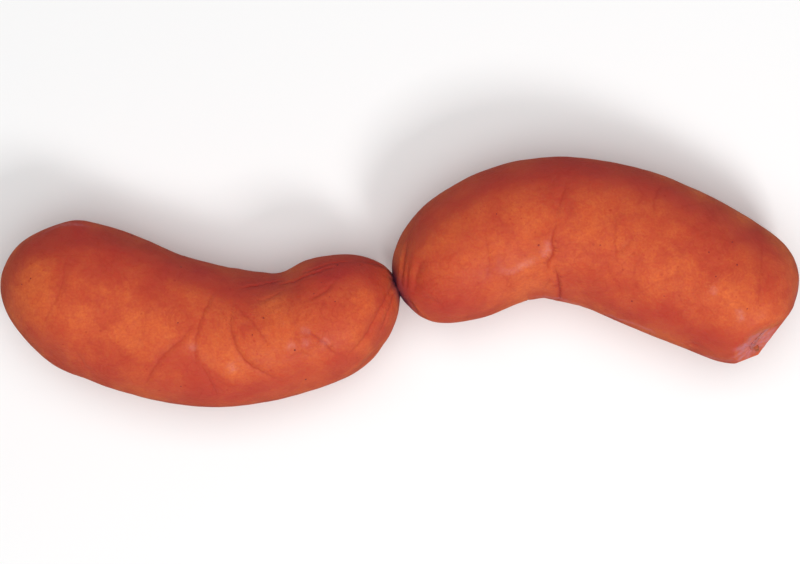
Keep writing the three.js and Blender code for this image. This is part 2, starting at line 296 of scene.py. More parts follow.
def lengths_along(line):
    """How far along a line each of its points is."""
    steps = np.linalg.norm(np.diff(line, axis=0), axis=1)
    return np.concatenate([[0], np.cumsum(steps)])


def rounding(distance, end):
    """The share of the full width that a rounded end has at a distance from its tip."""
    length, power = end
    left = max(0, 1 - distance / length)
    return (1 - left**power) ** (1 / power)


def link_sections(link):
    """Distance along, height of the middle, half-width and half-height of each ring of a link, in millimetres."""
    line = smooth_line(link["stations"], LINE_STEPS)
    along = lengths_along(line[:, :2])
    long = along[-1]
    far, neck = link["far_end"][0], link["neck_end"][0]
    eased = [1 - math.cos(math.pi / 2 * (i + FIRST_RING) / (END_RINGS + FIRST_RING)) for i in range(END_RINGS)]
    places = [far * e for e in eased]
    places += list(np.linspace(far, long - neck, BODY_RINGS))
    places += [long - neck * e for e in reversed(eased)]
    sections = []
    for at in places:
        wide = np.interp(at, along, line[:, 2])
        tall = np.interp(at / long, (0, 1), link["half_tall"])
        ends = rounding(at, link["far_end"]) * rounding(long - at, link["neck_end"])
        sections.append((at, tall - PRESSED_FLAT, wide * ends, tall * ends))
    return sections


def deselect():
    bpy.ops.object.select_all(action="DESELECT")


def only(piece):
    """Selects one piece and makes it active."""
    deselect()
    piece.select_set(True)
    bpy.context.view_layer.objects.active = piece


def settle(piece):
    """Puts a piece's place into its mesh, so that its object sits at the origin."""
    only(piece)
    bpy.ops.object.transform_apply(location=True, rotation=True, scale=True)


def finish_with(piece, kind, **settings):
    """Adds a modifier and applies it."""
    only(piece)
    modifier = piece.modifiers.new(kind.lower(), kind)
    for name, value in settings.items():
        setattr(modifier, name, value)
    bpy.ops.object.modifier_apply(modifier=modifier.name)


def corners(piece):
    """The places of a piece's corners, as rows of x, y and z."""
    flat = np.empty(len(piece.data.vertices) * 3, np.float32)
    piece.data.vertices.foreach_get("co", flat)
    return flat.reshape(-1, 3).astype(float)


def weigh(piece, name, weights):
    """Makes a vertex group from one weight for each corner."""
    group = piece.vertex_groups.new(name=name)
    for i in np.nonzero(weights > 0.004)[0]:
        group.add([int(i)], float(weights[i]), "REPLACE")
    return group.name


def push(piece, name, weights, distance):
    """Moves the skin outwards by a distance times each corner's weight, or inwards where it is negative."""
    most = weights.max()
    if most <= 0:
        return
    group = weigh(piece, name, weights / most)
    finish_with(piece, "DISPLACE", strength=distance * most, mid_level=0, vertex_group=group)
    piece.vertex_groups.remove(piece.vertex_groups[group])


def centreline(name, link):
    """The link's centreline as a curve on the table."""
    line = smooth_line(link["stations"], LINE_STEPS)[:, :2] * MM
    curve = bpy.data.curves.new(name, "CURVE")
    curve.dimensions = "3D"
    curve.twist_mode = "Z_UP"
    spline = curve.splines.new("POLY")
    spline.points.add(len(line) - 1)
    for point, (x, y) in zip(spline.points, line):
        point.co = (x, y, 0, 1)
    path = bpy.data.objects.new(name, curve)
    bpy.context.collection.objects.link(path)
    return path


def bent_link(name, link):
    """A link modelled straight, ring by ring, and then bent along its centreline."""
    sections = link_sections(link)
    at, middle, wide, tall = sections[0]
    deselect()
    bpy.ops.mesh.primitive_circle_add(
        vertices=SIDES, radius=1, fill_type="NGON", location=(at * MM, 0, middle * MM), rotation=(0, math.pi / 2, 0)
    )
    piece = bpy.context.object
    piece.name = name
    settle(piece)
    bpy.ops.object.mode_set(mode="EDIT")
    bpy.ops.mesh.select_all(action="SELECT")
    bpy.ops.transform.resize(value=(1, wide * MM, tall * MM), center_override=(at * MM, 0, middle * MM))
    for before, after in zip(sections, sections[1:]):
        step = (after[0] - before[0], 0, after[1] - before[1])
        bpy.ops.mesh.extrude_region_move(TRANSFORM_OT_translate={"value": [s * MM for s in step]})
        grown = (1, after[2] / before[2], after[3] / before[3])
        bpy.ops.transform.resize(value=grown, center_override=(after[0] * MM, 0, after[1] * MM))
    bpy.ops.mesh.select_all(action="SELECT")
    bpy.ops.mesh.normals_make_consistent(inside=False)
    bpy.ops.object.mode_set(mode="OBJECT")
    path = centreline(name + "_centreline", link)
    finish_with(piece, "CURVE", object=path, deform_axis="POS_X")
    bpy.data.objects.remove(path)
    finish_with(piece, "SUBSURF", levels=SMOOTHING, render_levels=SMOOTHING)
    bpy.ops.object.shade_smooth()
    return piece


def on_top(piece, x, y):
    """The point of the skin straight below a point over the table."""
    hit, place, normal, face = piece.ray_cast(Vector((x, y, ABOVE_LINKS)), Vector((0, 0, -1)))
    return place if hit else piece.closest_point_on_mesh(Vector((x, y, LINK_MIDDLE)))[1]


def on_side(piece, link, share, degrees):
    """The point of the skin at a share of the way along a link and an angle round it."""
    line = smooth_line(link["stations"], LINE_STEPS) * MM
    i = int(np.clip(share, 0, 1) * (LINE_STEPS - 2))
    ahead = Vector((*(line[i + 1] - line[i])[:2], 0)).normalized()
    aside = Vector((-ahead.y, ahead.x, 0))
    turn = math.radians(degrees)
    middle = Vector((line[i][0], line[i][1], LINK_MIDDLE))
    out = aside * math.cos(turn) + Vector((0, 0, math.sin(turn)))
    return piece.closest_point_on_mesh(middle + out * line[i][2])[1]


# Steps on a fold's line for each of its points, and how it wanders: how quickly, and how far in millimetres
FOLD_STEPS = 12
WANDER = ((0.45, 0.3), (1.2, 0.16))
FOLD_SEED = 7


def laid_line(piece, link, points, hidden):
    """A fold's line on the skin: smooth, and wandering a little as a real crease does."""
    plan = smooth_line(points, FOLD_STEPS * len(points))
    line = []
    for number, (a, b) in enumerate(plan):
        wander = Vector((0, 0, 0))
        for pace, far in WANDER:
            wander += noise.noise_vector(Vector((a, b, number)) * pace) * far
        if hidden:
            line.append(on_side(piece, link, a, b + 2 * wander.x))
        else:
            line.append(on_top(piece, (a + wander.x) * MM, (b + wander.y) * MM))
    return np.array(line)


def beside(points, line, normals):
    """Each point's distance from a line on the skin, with a sign for its side, and its share along the line."""
    best = np.full(len(points), 1e9)
    side = np.zeros(len(points))
    share = np.zeros(len(points))
    for number, (start, end) in enumerate(zip(line, line[1:])):
        step = end - start
        along = np.clip((points - start) @ step / (step @ step + 1e-18), 0, 1)
        away = points - start - along[:, None] * step
        distance = np.linalg.norm(away, axis=1)
        nearer = distance < best
        best[nearer] = distance[nearer]
        sign = np.sign(np.einsum("ij,ij->i", np.cross(step, away), normals))
        side[nearer] = sign[nearer]
        share[nearer] = ((number + along) / (len(line) - 1))[nearer]
    return best, side, share


# How far from its line a fold can touch the skin, the share of the line over which it dies out at each end, how
# far its shade reaches, and how high, how far out and how wide the soft lip beside it is, as shares of the groove
REACH = 4 * MM
TAPERED = 0.35
SHADED = 1.6 * MM
LIP = (0.4, 1.6, 1.2)


def within_reach(points, line):
    """The numbers of the corners that a line could touch."""
    return np.nonzero(np.all((points > line.min(0) - REACH) & (points < line.max(0) + REACH), axis=1))[0]


def skin_normals(piece):
    """The way that the skin faces at each corner."""
    flat = np.empty(len(piece.data.vertices) * 3, np.float32)
    piece.data.vertices.foreach_get("normal", flat)
    return flat.reshape(-1, 3).astype(float)


def ease(value):
    """0 to 1 with a soft start and end."""
    value = np.clip(value, 0, 1)
    return value * value * (3 - 2 * value)


def fold_skin(piece, link, folds, hidden_folds):
    """Presses the folds into the skin, raises a soft lip beside each, and keeps where they run for the colour."""
    points = corners(piece)
    normals = skin_normals(piece)
    groove = np.zeros(len(points))
    lip = np.zeros(len(points))
    lip_height, lip_away, lip_width = LIP
    side_of = np.full(len(points), REACH)
    strength_of = np.zeros(len(points))
    every = [(*fold, False) for fold in folds] + [(*fold, True) for fold in hidden_folds]
    for path, depth, width, dark, hidden in every:
        width *= MM
        line = laid_line(piece, link, path, hidden)
        near = within_reach(points, line)
        distance, side, share = beside(points[near], line, normals[near])
        taper = ease(np.minimum(share, 1 - share) / TAPERED)
        groove[near] = np.maximum(groove[near], depth * taper * np.exp(-((distance / width) ** 2)))
        from_lip = (distance * side - lip_away * width) / (lip_width * width)
        raised = lip_height * depth * taper * np.exp(-(from_lip**2))
        lip[near] = np.maximum(lip[near], raised)
        # How strong the painted crease shade is along the fold
        strength = dark * taper * np.clip(1.5 - distance / SHADED, 0, 1)
        stronger = strength > strength_of[near]
        chosen = near[stronger]
        strength_of[chosen] = strength[stronger]
        side_of[chosen] = (distance * side)[stronger]
    store(piece, "fold_side", side_of / MM)
    store(piece, "fold_shade_strength", strength_of)
    push(piece, "grooves", groove, -1 * MM)
    push(piece, "lips", lip, 1 * MM)


def store(piece, name, values):
    """Keeps one number for each corner of the skin, for the material to read."""
    attribute = piece.data.attributes.new(name, "FLOAT", "POINT")
    attribute.data.foreach_set("value", np.asarray(values, np.float32))


# The pleats round a gathered place: their number and depth, the waves that make them uneven, each with a share,
# a number and a phase, how far they turn on the way out, and how far behind the place the skin is pale
PLEATS = 11
PLEAT_DEPTH = 0.25
PLEATS_UNEVEN = ((1.3, 2, 1), (0.9, 3, 0))
PLEATS_TURNING = 90
PALE_DEPTH = 1.1


def gather_skin(piece, link, gathers):
    """Draws the skin in to a dimple where the casing is gathered, with pleats that run out from it."""
    points = corners(piece)
    dimple = np.zeros(len(points))
    pleats = np.zeros(len(points))
    pale = np.zeros(len(points))
    for at, out, sunk, dimple_reach, pleat_reach, pale_reach, twist, twist_reach in gathers:
        at, out = np.array(at, float), np.array(out, float)
        away = points - at
        reach = np.linalg.norm(away, axis=1)
        flat = away - np.outer(away @ out, out)
        across = np.cross(out, (0, 0, 1))
        across /= np.linalg.norm(across)
        turn = np.arctan2(flat[:, 2], flat @ across)
        wave = PLEATS * turn + PLEATS_TURNING * reach
        for share, times, phase in PLEATS_UNEVEN:
            wave += share * np.sin(times * turn + phase)
        fade = np.exp(-((reach / (pleat_reach * MM)) ** 2)) * ease(reach / (dimple_reach * MM))
        pleats = np.maximum(pleats, (0.5 + 0.5 * np.cos(wave)) * fade)
        dimple = np.maximum(dimple, sunk * np.exp(-((reach / (dimple_reach * MM)) ** 2)))
        if pale_reach:
            near = ease(2.2 - 2 * reach / (pale_reach * MM) - 0.25 * np.cos(wave))
            near *= np.exp(-((away @ out / (PALE_DEPTH * MM)) ** 2))
            by_twist = np.linalg.norm(points - np.array(twist), axis=1) / (twist_reach * MM)
            pale = np.maximum(pale, near * (1 - np.exp(-(by_twist**2))))
    # Pale skin at the tails, partly layered casing and partly painted reflection, and painted rim reflections
    store(piece, "gathered", np.maximum(pale, REFLECTED_RIM_SHARE * soft_lines(piece, link, REFLECTED_RIM_LINES, REFLECTED_RIM_WIDTH)))
    store(piece, "loose_with_highlight", soft_lines(piece, link, LOOSE_HIGHLIGHT_LINES, LOOSE_HIGHLIGHT_WIDTH))
    store(piece, "pleat", pleats)
    push(piece, "dimples", dimple, -1 * MM)
    push(piece, "pleats", pleats, -PLEAT_DEPTH * MM)


def paint_shade_by_lean(piece):
    """Marks the painted shade on the casing: least along the crown, most on its shoulders."""
    normals = skin_normals(piece)
    depth = np.interp(normals[:, 2], *zip(*PAINTED_SHADE_BY_LEAN)) + PAINTED_SHADE_BACK * np.clip(normals[:, 1], 0, 1)
    depth += PAINTED_SHADE_ENDS * abs(normals[:, 0])
    away = np.linalg.norm(corners(piece) - np.array(NECK), axis=1) / (NECK_REACH * MM)
    store(piece, "painted_shade", np.clip(depth + PAINTED_SHADE_NECK * np.exp(-(away**2)), 0, 1))


def dent_skin(piece, dents):
    """Presses the shallow dents in and the swellings out."""
    points = corners(piece)
    dent = np.zeros(len(points))
    for x, y, radius, depth in dents:
        away = points - np.array(on_top(piece, x * MM, y * MM))
        dent += depth * np.exp(-((away**2).sum(1)) / (radius * MM) ** 2)
    push(piece, "dents", np.clip(dent, 0, None), -1 * MM)
    push(piece, "swellings", np.clip(-dent, 0, None), 1 * MM)


def flatten_skin(piece, flats):
    """Presses the skin flat, up to a reach, where the casing is drawn across the end of the filling."""
    for at, out, reach in flats:
        points, out = corners(piece), np.array(out, float)
        over = np.clip((points - np.array(at)) @ out, 0, None) / np.clip(skin_normals(piece) @ out, 0.4, None)
        away = np.linalg.norm(points - np.array(at), axis=1)
        push(piece, "flats", over / MM * ease(2 - away / (reach * MM)), -1 * MM)


def mark_pinch_and_shade(piece, reach):
    """Marks where the links press together: dark skin, partly painted shade, a little higher than it is wide."""
    away = corners(piece) - np.array(NECK)
    away[:, 2] *= PINCH_HEIGHT
    store(piece, "pinched_and_shaded", ease(1.5 - np.linalg.norm(away, axis=1) / (reach * MM)))


def patch_skin(piece):
    """Marks where the filling is redder or paler and the casing finely crinkled, partly painted shade, light and
    highlights.
    """
    points = corners(piece)
    crinkled_highlight = [(*patch, 1) for patch in CRINKLED_HIGHLIGHT_PATCHES]
    for name, patches in (("redder_and_shaded", REDDER_AND_SHADED), ("paler_and_lit", PALER_AND_LIT), ("crinkled_highlight", crinkled_highlight)):
        marked = np.zeros(len(points))
        for x, y, radius, share in patches:
            away = points - np.array(on_top(piece, x * MM, y * MM))
            marked = np.maximum(marked, share * np.exp(-((away**2).sum(1)) / (radius * MM) ** 2))
        store(piece, name, marked)


def soft_lines(piece, link, lines, width):
    """How near each corner is to the middle of one of a few soft lines, from 0 to 1."""
    points, normals = corners(piece), skin_normals(piece)
    marked = np.zeros(len(points))
    for path in lines:
        line = laid_line(piece, link, path, False)
        near = within_reach(points, line)
        distance, side, share = beside(points[near], line, normals[near])
        fade = ease(np.minimum(share, 1 - share) / TAPERED)
        marked[near] = np.maximum(marked[near], fade * np.exp(-((distance / (width * MM)) ** 2)))
    return marked


# The shallow unevenness of the filling: its size and depth in millimetres
LUMPS = {"filling_swells": (17, 0.7), "filling_dents": (5, 0.16)}


def lumpy_skin(piece):
    """Makes the skin uneven by the filling under it, in broad swells and small dents."""
    for name, (size, depth) in LUMPS.items():
        texture = bpy.data.textures.new(name, "CLOUDS")
        texture.noise_scale = size * MM
        finish_with(piece, "DISPLACE", texture=texture, texture_coords="LOCAL", strength=depth * MM, mid_level=0.5)
        bpy.data.textures.remove(texture)


def press_on_table(piece):
    """Flattens all that reaches below the table top."""
    low = corners(piece)[:, 2] < 0
    piece.data.vertices.foreach_set("select", low)
    piece.data.edges.foreach_set("select", np.zeros(len(piece.data.edges), bool))
    piece.data.polygons.foreach_set("select", np.zeros(len(piece.data.polygons), bool))
    only(piece)
    bpy.context.tool_settings.mesh_select_mode = (True, False, False)
    bpy.ops.object.mode_set(mode="EDIT")
    bpy.ops.transform.resize(value=(1, 1, 0), center_override=(0, 0, 0))
    bpy.ops.object.mode_set(mode="OBJECT")


def make_link(name, link, folds, dents, flats, gathers, pinch):
    """One link, from its bent body to the last fold of its casing."""
    piece = bent_link(name, link)
    lumpy_skin(piece)
    dent_skin(piece, dents)
    flatten_skin(piece, flats)
    paint_shade_by_lean(piece)
    mark_pinch_and_shade(piece, pinch)
    gather_skin(piece, link, gathers)
    patch_skin(piece)
    fold_skin(piece, link, folds, HIDDEN_FOLDS)
    press_on_table(piece)
    return piece


# The twisted casing of the neck and the tails: its strands and the corners of each, how deep the groove between
# two strands is as a share of the radius, and its rings
STRANDS = 3
STRAND_SIDES = 6
STRAND_GROOVE = 0.72
ROPE_RINGS = 12


def twisted_casing(name, at, out, radius, long, turns, taper):
    """A short rope of twisted casing: a grooved column, twisted and tapered, then turned to its place."""
    deselect()
    bpy.ops.mesh.primitive_circle_add(vertices=STRANDS * STRAND_SIDES, radius=radius * MM, fill_type="NGON")
    piece = bpy.context.object
    piece.name = name
    for corner in piece.data.vertices:
        if corner.index % STRAND_SIDES == 0:
            corner.co *= STRAND_GROOVE
    bpy.ops.object.mode_set(mode="EDIT")
    bpy.ops.mesh.select_all(action="SELECT")
    bpy.ops.transform.translate(value=(0, 0, -long * MM / 2))
    for ring in range(ROPE_RINGS):
        bpy.ops.mesh.extrude_region_move(TRANSFORM_OT_translate={"value": (0, 0, long * MM / ROPE_RINGS)})
        bpy.ops.transform.rotate(value=2 * math.pi * turns / ROPE_RINGS, orient_axis="Z", center_override=(0, 0, 0))
        thinner = 1 - taper / ROPE_RINGS
        bpy.ops.transform.resize(value=(thinner, thinner, 1), center_override=(0, 0, 0))
    bpy.ops.mesh.select_all(action="SELECT")
    bpy.ops.mesh.normals_make_consistent(inside=False)
    bpy.ops.object.mode_set(mode="OBJECT")
    piece.rotation_euler = Vector((0, 0, 1)).rotation_difference(out).to_euler()
    piece.location = at
    settle(piece)
    finish_with(piece, "SUBSURF", levels=2, render_levels=2)
    bpy.ops.object.shade_smooth()
    return piece


# A speck's unevenness, and its width, length and thickness as shares
SPECK_UNEVEN = 0.22
SPECK_SHAPE = (1, 0.8, 0.35)


def pepper_specks(places):
    """Flat specks just proud of the skin: those in the picture, and some more on the sides and underneath."""
    chance = random.Random(SPECK_SEED)
    deselect()
    bpy.ops.mesh.primitive_ico_sphere_add(subdivisions=2, radius=1)
    first = bpy.context.object
    bpy.ops.object.mode_set(mode="EDIT")
    bpy.ops.mesh.select_all(action="SELECT")
    bpy.ops.transform.vertex_random(offset=SPECK_UNEVEN, seed=SPECK_SEED)
    bpy.ops.transform.resize(value=SPECK_SHAPE, center_override=(0, 0, 0))
    bpy.ops.object.mode_set(mode="OBJECT")
    bpy.ops.object.shade_smooth()
    copies = []
    for skin, link, seen in places:
        spots = [(on_top(skin, x * MM, y * MM), size, dark) for x, y, size, dark in seen]
        for _ in range(SPECKS_BELOW):
            spot = on_side(skin, link, chance.uniform(*SPECKS_ALONG), chance.uniform(*SPECKS_ROUND))
            spots.append((spot, chance.uniform(*SPECK_SIZES), chance.uniform(*SPECKS_DARK)))
        for spot, size, dark in spots:
            if spot.z < SPECKS_LOWEST:
                continue
            normal = skin.closest_point_on_mesh(spot)[2]
            speck = first.copy()
            speck.data = first.data.copy()
            store(speck, "dark", np.full(len(speck.data.vertices), dark))
            bpy.context.collection.objects.link(speck)
            speck.scale = [size * MM] * 3
            turned = Quaternion((0, 0, 1), chance.uniform(0, math.pi))
            speck.rotation_euler = (Vector((0, 0, 1)).rotation_difference(normal) @ turned).to_euler()
            speck.location = spot
            copies.append(speck)
    bpy.data.objects.remove(first)
    deselect()
    for speck in copies:
        speck.select_set(True)
    bpy.context.view_layer.objects.active = copies[0]
    bpy.ops.object.join()
    piece = bpy.context.object
    piece.name = "pepper_specks"
    settle(piece)
    return piece


# Finishes
def feed(tree, socket, value):
    """Gives an input a value or another node's output."""
    if isinstance(value, bpy.types.NodeSocket):
        tree.links.new(value, socket)
    elif value is not None:
        socket.default_value = value


def add_node(tree, kind, feeds=None, **settings):
    """Adds a shader node. feeds gives what goes into each input, by its name or number."""
    new = tree.nodes.new(kind)
    for name, value in settings.items():
        setattr(new, name, value)
    for name, value in (feeds or {}).items():
        feed(tree, new.inputs[name], value)
    return new


def math_node(tree, operation, a, b=None, clamp=False):
    """The result of one sum on values or outputs."""
    return add_node(tree, "ShaderNodeMath", {0: a, 1: b}, operation=operation, use_clamp=clamp).outputs[0]


def stored(tree, name):
    """A number that the skin keeps for each corner."""
    return add_node(tree, "ShaderNodeAttribute", attribute_name=name).outputs["Fac"]


def blend_colour(tree, share, first, second):
    """Goes from one colour to another by a mask."""
    new = tree.nodes.new("ShaderNodeMix")
    new.data_type = "RGBA"
    for name, value in (("Factor_Float", share), ("A_Color", first), ("B_Color", second)):
        feed(tree, next(s for s in new.inputs if s.identifier == name), value)
    return next(s for s in new.outputs if s.identifier == "Result_Color")


def smooth_step(tree, value, low, high):
    """0 below low and 1 above high, or the other way round where low is the higher."""
    rising = low < high
    return add_node(tree, "ShaderNodeMapRange", {
        "Value": value, "From Min": min(low, high), "From Max": max(low, high),
        "To Min": 0 if rising else 1, "To Max": 1 if rising else 0,
    }, interpolation_type="SMOOTHSTEP").outputs["Result"]


def start_group(name, takes):
    """An empty node group with its inputs and a mask to give, and the nodes that stand for them."""
    group = bpy.data.node_groups.new(name, "ShaderNodeTree")
    for title, kind, value in takes:
        socket = group.interface.new_socket(title, in_out="INPUT", socket_type=kind)
        if value is not None:
            socket.default_value = value
    group.interface.new_socket("Mask", in_out="OUTPUT", socket_type="NodeSocketFloat")
    return group, group.nodes.new("NodeGroupInput"), group.nodes.new("NodeGroupOutput")


def place_group(tree, group, feeds):
    """Places a node group in a material with its own values, and gives its mask."""
    return add_node(tree, "ShaderNodeGroup", feeds, node_tree=group).outputs[0]


# The input that takes a pattern's place
PLACE = ("Place", "NodeSocketVector", None)


def uneven_group():
    """Cloudy unevenness at one size, as a mask."""
    takes = [PLACE, ("Size", "NodeSocketFloat", 0.01), ("Detail", "NodeSocketFloat", 3)]
    group, given, result = start_group("cloudy unevenness", takes)
    scale = math_node(group, "DIVIDE", 1, given.outputs["Size"])
    cloud = add_node(group, "ShaderNodeTexNoise", {
        "Vector": given.outputs["Place"], "Scale": scale, "Detail": given.outputs["Detail"], "Roughness": 0.55,
    })
    mask = smooth_step(group, cloud.outputs[0], 0.3, 0.7)
    group.links.new(mask, result.inputs["Mask"])
    return group


def speck_group():
    """Small round specks scattered at one spacing, each with its own strength, as a mask."""
    takes = [PLACE, ("Spacing", "NodeSocketFloat", 0.005), ("Radius", "NodeSocketFloat", 0.1)]
    group, given, result = start_group("scattered specks", takes)
    scale = math_node(group, "DIVIDE", 1, given.outputs["Spacing"])
    cells = add_node(group, "ShaderNodeTexVoronoi", {"Vector": given.outputs["Place"], "Scale": scale})
    nearness = math_node(group, "DIVIDE", cells.outputs["Distance"], given.outputs["Radius"])
    spot = smooth_step(group, nearness, 1, 0.5)
    parts = add_node(group, "ShaderNodeSeparateColor", {"Color": cells.outputs["Color"]})
    group.links.new(math_node(group, "MULTIPLY", spot, parts.outputs[0]), result.inputs["Mask"])
    return group


def fold_line_group():
    """A line of one width in millimetres along the folds that the skin keeps, as a mask for painted crease shade."""
    takes = [("Width", "NodeSocketFloat", 0.3)]
    group, given, result = start_group("fold line", takes)
    side, strength = stored(group, "fold_side"), stored(group, "fold_shade_strength")
    ratio = math_node(group, "DIVIDE", side, given.outputs["Width"])
    power = math_node(group, "MULTIPLY", math_node(group, "MULTIPLY", ratio, ratio), -1)
    line = math_node(group, "MULTIPLY", math_node(group, "EXPONENT", power), strength)
    group.links.new(line, result.inputs["Mask"])
    return group


def vein_group():
    """A faint wandering network, as a mask."""
    takes = [PLACE, ("Spacing", "NodeSocketFloat", 0.01), ("Width", "NodeSocketFloat", 0.1)]
    group, given, result = start_group("vein network", takes)
    scale = math_node(group, "DIVIDE", 1, given.outputs["Spacing"])
    warp_scale = math_node(group, "MULTIPLY", scale, 0.8)
    warp = add_node(group, "ShaderNodeTexNoise", {"Vector": given.outputs["Place"], "Scale": warp_scale, "Detail": 3})
    amount = math_node(group, "MULTIPLY", given.outputs["Spacing"], 0.9)
    feeds = {0: warp.outputs["Color"], "Scale": amount}
    shift = add_node(group, "ShaderNodeVectorMath", feeds, operation="SCALE").outputs[0]
    feeds = {0: given.outputs["Place"], 1: shift}
    moved = add_node(group, "ShaderNodeVectorMath", feeds, operation="ADD").outputs[0]
    cells = add_node(group, "ShaderNodeTexVoronoi", {"Vector": moved, "Scale": scale}, feature="DISTANCE_TO_EDGE")
    nearness = math_node(group, "DIVIDE", cells.outputs["Distance"], given.outputs["Width"])
    group.links.new(smooth_step(group, nearness, 1, 0), result.inputs["Mask"])
    return group


def crinkle_group():
    """Fine crossing ridges, as a mask."""
    takes = [PLACE, ("Size", "NodeSocketFloat", 0.001)]
    group, given, result = start_group("fine crinkles", takes)
    scale = math_node(group, "DIVIDE", 1, given.outputs["Size"])
    cloud = add_node(group, "ShaderNodeTexNoise", {
        "Vector": given.outputs["Place"], "Scale": scale, "Detail": 2, "Distortion": 1.2,
    })
    offset = math_node(group, "ABSOLUTE", math_node(group, "SUBTRACT", cloud.outputs[0], 0.5))
    group.links.new(smooth_step(group, offset, 0.07, 0), result.inputs["Mask"])
    return group


CLOUDS = uneven_group()
SPECKS = speck_group()
VEINS = vein_group()
CRINKLES = crinkle_group()
FOLD_LINE = fold_line_group()

# Colours, as linear red, green and blue
SKIN_BRIGHT = (0.66, 0.142, 0.042, 1)
SKIN_DEEP = (0.43, 0.048, 0.032, 1)
# The painted shade that darkens the casing's shoulders, back and neck
SKIN_PAINTED_SHADE = (0.41, 0.037, 0.035, 1)
SKIN_PALE = (0.73, 0.2, 0.054, 1)
# Paler filling, and painted light along the rims
PALER_FILLING_AND_LIT = (0.8, 0.2, 0.055, 1)
GRAIN_DEEP = (0.5, 0.044, 0.031, 1)
# Dark red for the faint veins, fibres and specks, and for the painted shade in the folds
DARK_MARKS_AND_CREASE_SHADE = (0.37, 0.022, 0.018, 1)
SPECK_DARK = (0.14, 0.016, 0.018, 1)
SPECK_RED = (0.38, 0.036, 0.026, 1)
# A pale lilac highlight painted on where the casing is loose
FILM_PAINTED_HIGHLIGHT = (0.76, 0.38, 0.4, 1)
# Pale violet of the gathered tails and rim lines, partly the layered casing and partly painted reflection
GATHER_PALE_AND_REFLECTION = (0.57, 0.2, 0.23, 1)
# Near black purple where the links press together, partly the casing's own colour and partly painted shade
PINCH_DARK_AND_SHADE = (0.055, 0.014, 0.06, 1)
TWIST_BROWN = (0.34, 0.06, 0.034, 1)
TWIST_ORANGE = (0.55, 0.12, 0.04, 1)
TABLE_WHITE = (0.9, 0.9, 0.9, 1)


def start_material(name, **constants):
    """A material with only its shader, whose even values are set on its own sockets."""
    material = bpy.data.materials.new(name)
    material.use_nodes = True
    shader = material.node_tree.nodes["Principled BSDF"]
    for title, value in constants.items():
        shader.inputs[title.replace("_", " ")].default_value = value
    return material, material.node_tree, shader


def object_place(tree):
    """Where a point of the surface is in the object's own frame."""
    return add_node(tree, "ShaderNodeTexCoord").outputs["Object"]


def product(tree, a, b):
    """Two values multiplied."""
    return math_node(tree, "MULTIPLY", a, b)


def scaled(tree, value, times, plus):
    """A value times a number, plus another."""
    return math_node(tree, "ADD", product(tree, value, times), plus)


# The cloudy layers of the filling and the casing: their size in millimetres and their detail
CASING_CLOUDS = {"swells": (20, 2), "patches": (12, 4), "mottle": (4.5, 4), "streaks": (1.3, 4), "grain": (0.6, 3)}

# How much of each layer shows
SHOWN = {
    "swells": 0.2, "mottle": 0.42, "patches": 0.58, "patches_where_paler_and_lit": -0.4, "streaks": 0.3, "grain": 0.36,
    "fibres": 0.2, "veins": 0.25, "faint_specks": 0.5, "dots": 0.9, "fold_shade": 0.22, "fold_line_shade": 0.55,
    "highlit_flecks": 0.35, "gathered": 0.8, "pinched_and_shaded": 0.92, "loose_with_highlight": 0.18,
}

# How much of each makes the surface uneven, and how far it stands up
RAISED = {"grain": 0.25, "mottle": 0.6, "streaks": 0.3, "highlit_flecks": 0.9, "line": -1}
RAISED_BY = 0.15 * MM


